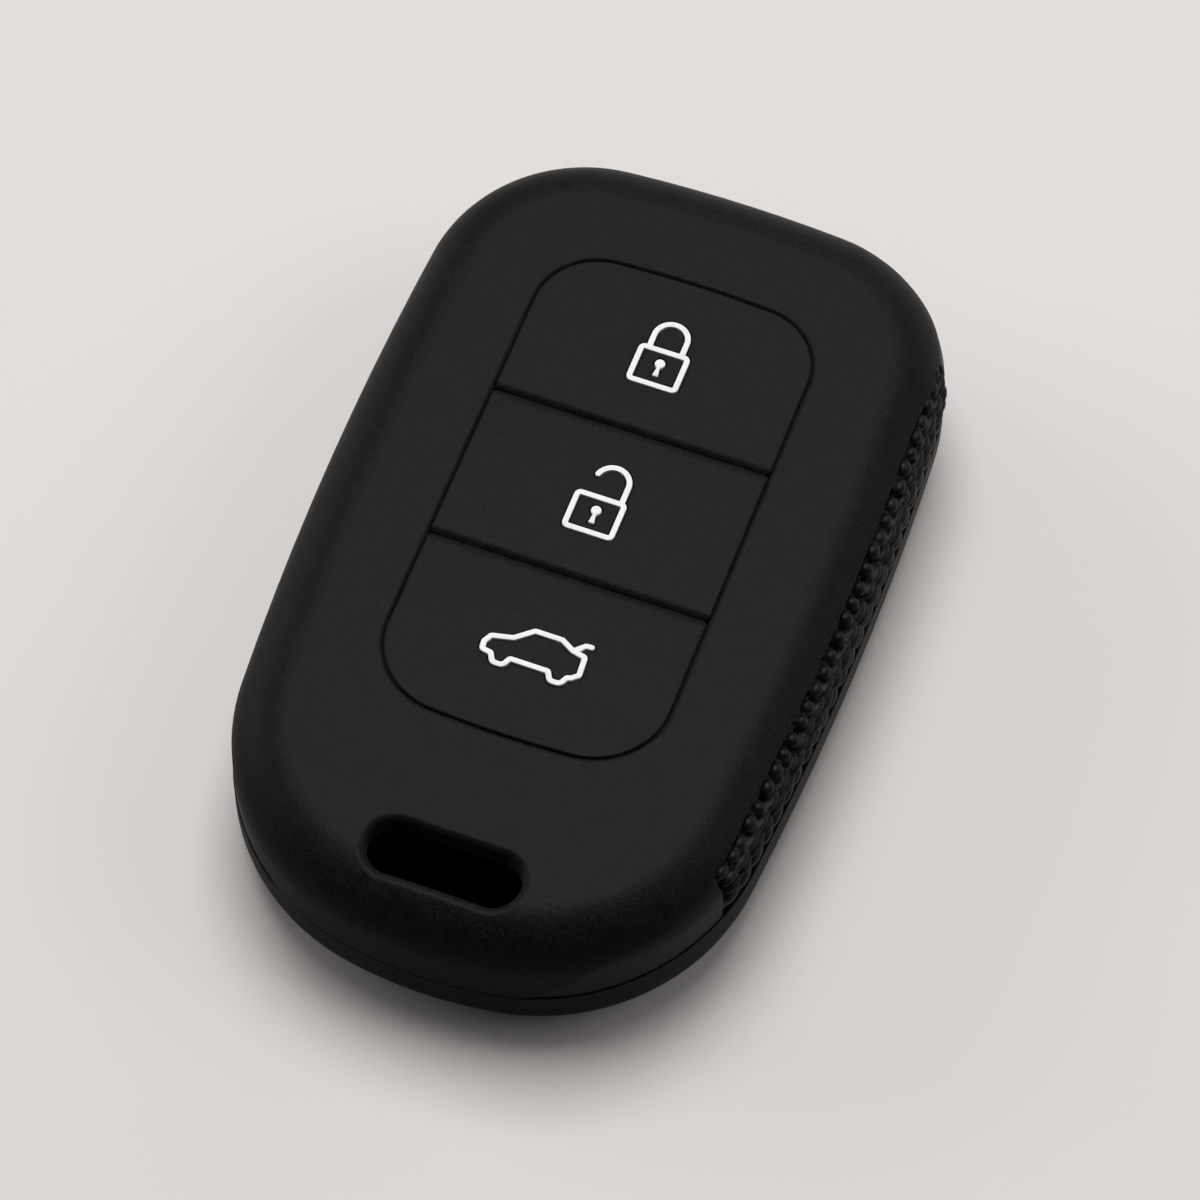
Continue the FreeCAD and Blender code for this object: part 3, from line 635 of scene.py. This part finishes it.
@dataclass
class SideGrip:
    """A side grip: the moulded strip, the trough in it and the rows of pebbles there. Lengths are in millimetres.

    Attributes:
        side: The side that the grip lies in.
        rail: The cover's plan outline along that side.
        pebbles: The grip's pebbled stretch.
        shoulder_top: The height of the cover's face.
        shoulder_radius: The rounding of the cover's front edge.
        edge_angle: The lean of the face, in degrees, from which the rows' drops are measured.
        trough: How far the strip is sunk under the pebbles.
        jitter: How far a pebble strays along its row; across it, half as far.
        swell: The share by which a pebble's sizes differ.
        voxel: The grid that strip and pebbles are fused on.
        smooth_factor: How far one smoothing pass moves the fused face.
        smooth_passes: How many such passes there are.
        seed: The start of the small differences.
    """

    side: Side
    rail: SideRail
    pebbles: PebbleField
    shoulder_top: float = 14.8
    shoulder_radius: float = 4.6
    edge_angle: float = 45.0
    trough: float = 0.42
    jitter: float = 0.22
    swell: float = 0.18
    voxel: float = 0.13
    smooth_factor: float = 0.5
    smooth_passes: int = 2
    seed: int = 17

    def surface(self, run: float, drop: float) -> Matrix:
        """Finds the frame of the cover's outer face at a place of the grip.

        Args:
            run: The distance along the plan outline from the widest place.
            drop: The distance over the face down from the edge_angle line.

        Returns:
            A matrix with its X along the side, its Y across it and its Z outwards.
        """
        point, out = self.rail.station(run)
        edge = math.radians(self.edge_angle)
        arc = self.shoulder_radius * edge
        tilt = edge * max(0.0, 1 - drop / arc)
        normal = Vector((out.x * math.cos(tilt), out.y * math.cos(tilt), math.sin(tilt)))
        along = Vector((-out.y, out.x, 0.0))
        hub = point - self.shoulder_radius * out
        place = Vector((hub.x, hub.y, self.shoulder_top - self.shoulder_radius)) + self.shoulder_radius * normal
        place.z -= max(0.0, drop - arc)
        frame = Matrix((along, normal.cross(along), normal)).transposed().to_4x4()
        frame.translation = place
        return frame

    @staticmethod
    def cut_strip(
        node: bpy.types.Object, name: str, cuts: list[tuple[Vector, Vector]], sink: float = 0.0
    ) -> bpy.types.Object:
        """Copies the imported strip, sinks its faces and cuts away what lies before each plane.

        Args:
            node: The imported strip.
            name: The copy's name.
            cuts: A point and the outward direction of each cutting plane.
            sink: How far the faces are sunk before the cuts.

        Returns:
            The cut copy.
        """
        piece = copy_solid(node, name)
        bpy.ops.object.mode_set(mode="EDIT")
        bpy.ops.mesh.select_all(action="SELECT")
        bpy.ops.transform.shrink_fatten(value=-sink * MM)
        for place, way in cuts:
            bpy.ops.mesh.select_all(action="SELECT")
            bpy.ops.mesh.bisect(plane_co=place * MM, plane_no=way, use_fill=True, clear_outer=True)
        bpy.ops.object.mode_set(mode="OBJECT")
        return piece

    @staticmethod
    def model_knob(half: tuple[float, float, float]) -> bpy.types.Object:
        """Models one pebble, a flattened round knob, at the origin in millimetres.

        Args:
            half: Its half sizes.

        Returns:
            The knob.
        """
        deselect_all()
        bpy.ops.mesh.primitive_ico_sphere_add(subdivisions=2, radius=1.0)
        knob = bpy.context.object
        bpy.ops.object.mode_set(mode="EDIT")
        bpy.ops.transform.resize(value=half)
        bpy.ops.object.mode_set(mode="OBJECT")
        return knob

    def lay_row(self, row: PebbleRow, draw: random.Random) -> list[bpy.types.Object]:
        """Lays one row of pebbles, each a copy of one knob with its own size and place.

        Args:
            row: The row to lay.
            draw: The source of the small differences.

        Returns:
            The row's pebbles.
        """
        knob = self.model_knob(row.half)
        mirror = Matrix.Diagonal((self.side.value, 1.0, 1.0, 1.0))
        sunk = Matrix.Translation((0.0, 0.0, row.top - row.half[2]))
        knobs = []
        start, end = self.pebbles.row_ends[0] + row.half[0], self.pebbles.row_ends[1] - row.half[0]
        count = round((end - start) / row.pitch)
        for index in range(count + 1):
            run = start + index / count * (end - start) + draw.uniform(-1, 1) * self.jitter
            frame = self.surface(run, row.drop + draw.uniform(-0.5, 0.5) * self.jitter)
            sizes = (1 + draw.uniform(-1, 1) * self.swell for _ in range(2))
            swell = Matrix.Diagonal((*sizes, 1.0, 1.0))
            copy = knob.copy()
            copy.data = knob.data.copy()
            bpy.context.scene.collection.objects.link(copy)
            copy.data.transform(Matrix.Scale(MM, 4) @ mirror @ frame @ sunk @ swell)
            if self.side is Side.LEFT:
                copy.data.flip_normals()
            knobs.append(copy)
        bpy.data.objects.remove(knob)
        return knobs

    def build(self, node: bpy.types.Object, material: bpy.types.Material) -> bpy.types.Object:
        """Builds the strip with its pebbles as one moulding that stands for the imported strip.

        Args:
            node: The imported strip.
            material: The grip's finish.

        Returns:
            The finished piece.
        """
        draw = random.Random(self.seed)
        name = self.side.name.lower() + "_pebbled_grip"
        far, near = Vector((0.0, 1.0, 0.0)), Vector((0.0, -1.0, 0.0))
        start, end = (place * far for place in self.pebbles.trough_ends)
        pieces = [
            self.cut_strip(node, name, [(end, far), (start, near)], self.trough),
            self.cut_strip(node, "far_tail", [(end, near)]),
            self.cut_strip(node, "near_tail", [(start, far)]),
        ]
        for row in self.pebbles.rows:
            pieces += self.lay_row(row, draw)
        piece = join(pieces)
        apply_modifier(piece, "REMESH", mode="VOXEL", voxel_size=self.voxel * MM)
        apply_modifier(piece, "SMOOTH", factor=self.smooth_factor, iterations=self.smooth_passes)
        activate(piece)
        bpy.ops.object.shade_smooth()
        dress(piece, material)
        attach(piece, "cover")
        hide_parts(node.name)
        return piece


# The way along Y of the pad's end that meets the shell; the middle pad has none.
FREE_ENDS = {Symbol.LOCK: 1, Symbol.UNLOCK: 0, Symbol.TRUNK: -1}


@dataclass
class PushButton:
    """A sprung button: its pad, the web that carries it and its raised icon. Lengths are in millimetres.

    Attributes:
        symbol: The button's symbol.
        edge_growth: How far the pad's edges grow towards the shell.
        pad_crease: The least angle, in degrees, of an edge that stays sharp on the pad.
        flat_limit: The angle, in degrees, under which an icon's triangles are one face.
        bead_gap: How far an icon's line is slimmed on each side.
        bead_round: The rounding of an icon's line.
        bead_segments: How many steps that rounding has.
        bead_edge: The least angle, in degrees, of an edge that is rounded on an icon.
        bead_crease: The least angle, in degrees, of an edge that stays sharp on an icon.
        web_crease: The least angle, in degrees, of an edge that stays sharp on the web.
        web_rim_height: The height where the web leaves the shell; not used.
        web_foot_height: The height where the web meets the pad's stem; not used.
    """

    symbol: Symbol
    edge_growth: float = 0.04
    pad_crease: float = 30.0
    flat_limit: float = 1.0
    bead_gap: float = 0.036
    bead_round: float = 0.1
    bead_segments: int = 3
    bead_edge: float = 60.0
    bead_crease: float = 40.0
    web_crease: float = 35.0
    web_rim_height: float = 13.3
    web_foot_height: float = 13.0

    def body(self) -> str:
        """Returns the name of the button's body."""
        return self.symbol.value + "_button"

    def build_pad(self, node: bpy.types.Object, material: bpy.types.Material) -> bpy.types.Object:
        """Grows the pad's edges towards the shell, so that a fine line is left round the panel.

        Args:
            node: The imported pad.
            material: The silicone's finish.

        Returns:
            The finished piece.
        """
        piece = copy_solid(node, self.symbol.value + "_pad")
        low, high = (Vector(corner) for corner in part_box(node.name))
        size, anchor = high - low, (low + high) / 2
        free_end = FREE_ENDS[self.symbol]
        anchor.y -= free_end * size.y / 2
        growth = self.edge_growth * MM
        bpy.ops.object.mode_set(mode="EDIT")
        bpy.ops.mesh.select_all(action="SELECT")
        bpy.ops.transform.resize(
            value=(1 + 2 * growth / size.x, 1 + abs(free_end) * growth / size.y, 1.0), center_override=anchor
        )
        bpy.ops.object.mode_set(mode="OBJECT")
        bpy.ops.object.shade_smooth_by_angle(angle=math.radians(self.pad_crease))
        apply_modifier(piece, "WEIGHTED_NORMAL", keep_sharp=True)
        dress(piece, material)
        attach(piece, self.body())
        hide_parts(node.name)
        return piece

    def build_icon(self, node: bpy.types.Object, material: bpy.types.Material) -> bpy.types.Object:
        """Slims and rounds an icon's raised line into a bead with a fine gap round it.

        Args:
            node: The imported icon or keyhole.
            material: The icon's finish.

        Returns:
            The finished piece.
        """
        piece = copy_solid(node, node.name + "_bead")
        bpy.ops.object.mode_set(mode="EDIT")
        bpy.ops.mesh.select_all(action="SELECT")
        bpy.ops.mesh.dissolve_limited(angle_limit=math.radians(self.flat_limit))
        bpy.ops.transform.shrink_fatten(value=-self.bead_gap * MM, use_even_offset=True)
        bpy.ops.transform.translate(value=(0.0, 0.0, self.bead_gap * MM))
        bpy.ops.object.mode_set(mode="OBJECT")
        apply_modifier(
            piece,
            "BEVEL",
            width=self.bead_round * MM,
            segments=self.bead_segments,
            limit_method="ANGLE",
            angle_limit=math.radians(self.bead_edge),
        )
        activate(piece)
        bpy.ops.object.shade_smooth_by_angle(angle=math.radians(self.bead_crease))
        dress(piece, material)
        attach(piece, self.body())
        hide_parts(node.name)
        return piece

    def build_web(self, node: bpy.types.Object, material: bpy.types.Material) -> bpy.types.Object:
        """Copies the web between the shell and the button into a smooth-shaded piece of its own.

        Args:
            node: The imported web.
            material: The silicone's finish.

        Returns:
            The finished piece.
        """
        piece = copy_solid(node, self.symbol.value + "_soft_web")
        bpy.ops.object.shade_smooth_by_angle(angle=math.radians(self.web_crease))
        dress(piece, material)
        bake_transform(piece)
        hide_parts(node.name)
        return piece


@dataclass(frozen=True)
class SoftLamp:
    """A rectangular lamp that faces the cover.

    Attributes:
        name: The lamp's name.
        place: Where it hangs, in metres.
        size: Its width and height in metres.
        power: Its power in watts.
    """

    name: str
    place: tuple[float, float, float]
    size: tuple[float, float]
    power: float


LAMPS = (
    SoftLamp("top_lamp", place=(-0.24, 0.6, 1.87), size=(1.2, 1.2), power=32.3),
    SoftLamp("left_lamp", place=(-1.76, 0.24, 0.62), size=(1.45, 1.0), power=11.5),
    SoftLamp("right_lamp", place=(1.5, 0.6, 1.3), size=(1.2, 1.0), power=6.2),
    SoftLamp("back_lamp", place=(0.6, 2.05, 0.6), size=(3.5, 1.1), power=11.0),
)


@dataclass
class Studio:
    """The floor, the lights and the camera. Lengths are in metres.

    Attributes:
        eye: Where the camera stands.
        aim: What the camera and the lamps point at.
        lens: The camera's focal length in millimetres.
        sensor: The width of the camera's sensor in millimetres.
        shift: The camera's shift to the right and up.
        clip: The distance from which the camera sees.
        floor_size: The floor's width.
        world_colour: The colour of the plain surrounding light.
        world_strength: Its strength.
    """

    eye: tuple[float, float, float] = (0.07343, -0.198825, 0.3728)
    aim: tuple[float, float, float] = (0.0, -0.003515, 0.0083)
    lens: float = 161.3
    sensor: float = 36.0
    shift: tuple[float, float] = (0.0267, 0.0148)
    clip: float = 0.01
    floor_size: float = 6.0
    world_colour: Colour = (0.78, 0.77, 0.76)
    world_strength: float = 0.1

    def build_floor(self) -> None:
        """Lays the pale floor."""
        deselect_all()
        bpy.ops.mesh.primitive_plane_add(size=self.floor_size)
        floor = bpy.context.object
        floor.name = "floor"
        dress(floor, FloorFinish().material())

    def place(self, thing: bpy.types.Object, spot: tuple[float, float, float]) -> None:
        """Puts a lamp or the camera at a spot, pointed at the cover.

        Args:
            thing: The lamp or the camera.
            spot: Where it goes.
        """
        thing.location = spot
        thing.rotation_mode = "QUATERNION"
        thing.rotation_quaternion = (Vector(self.aim) - Vector(spot)).to_track_quat("-Z", "Y")
        bpy.context.scene.collection.objects.link(thing)

    def build_lights(self) -> None:
        """Hangs the lamps and sets the plain surrounding light."""
        for lamp in LAMPS:
            data = bpy.data.lights.new(lamp.name, "AREA")
            data.shape = "RECTANGLE"
            data.size, data.size_y = lamp.size
            data.energy = lamp.power
            self.place(bpy.data.objects.new(lamp.name, data), lamp.place)
        world = bpy.data.worlds.new("studio_air")
        world.use_nodes = True
        back = world.node_tree.nodes["Background"]
        back.inputs["Color"].default_value = (*self.world_colour, 1.0)
        back.inputs["Strength"].default_value = self.world_strength
        bpy.context.scene.world = world
        bpy.context.scene.view_settings.view_transform = "Standard"

    def build_camera(self) -> None:
        """Sets the camera at the photograph's angle."""
        data = bpy.data.cameras.new("camera")
        data.sensor_width = self.sensor
        data.lens = self.lens
        data.shift_x, data.shift_y = self.shift
        data.clip_start = self.clip
        camera = bpy.data.objects.new("camera", data)
        self.place(camera, self.eye)
        bpy.context.scene.camera = camera


def main() -> None:
    """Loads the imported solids, dresses every piece and builds the studio."""
    logging.basicConfig(level=logging.INFO, format="%(name)s: %(message)s")
    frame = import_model()
    nodes = frame["nodes"]
    deselect_all()
    skin = MouldedSkin().group()
    silicone, grip, white = (finish.material(skin) for finish in (SILICONE, GRIP, ICON))
    for name in ("front_cover", "rear_cover"):
        dress(nodes[name], silicone)
        log.info("dressed %s", name)
    rail = SideRail()
    for side in Side:
        strip = SideGrip(side, rail, PEBBLES[side])
        piece = strip.build(nodes[side.name.lower() + "_grip"], grip)
        log.info("built %s with %d faces", piece.name, len(piece.data.polygons))
    for symbol in Symbol:
        button = PushButton(symbol)
        log.info("built %s", button.build_pad(nodes[button.body()], silicone).name)
        for name in (symbol.value + "_icon", symbol.value + "_keyhole"):
            if name in nodes:
                log.info("built %s", button.build_icon(nodes[name], white).name)
        log.info("built %s", button.build_web(nodes[symbol.value + "_button_web"], silicone).name)
    studio = Studio()
    studio.build_floor()
    studio.build_lights()
    studio.build_camera()


if __name__ == "__main__":
    main()
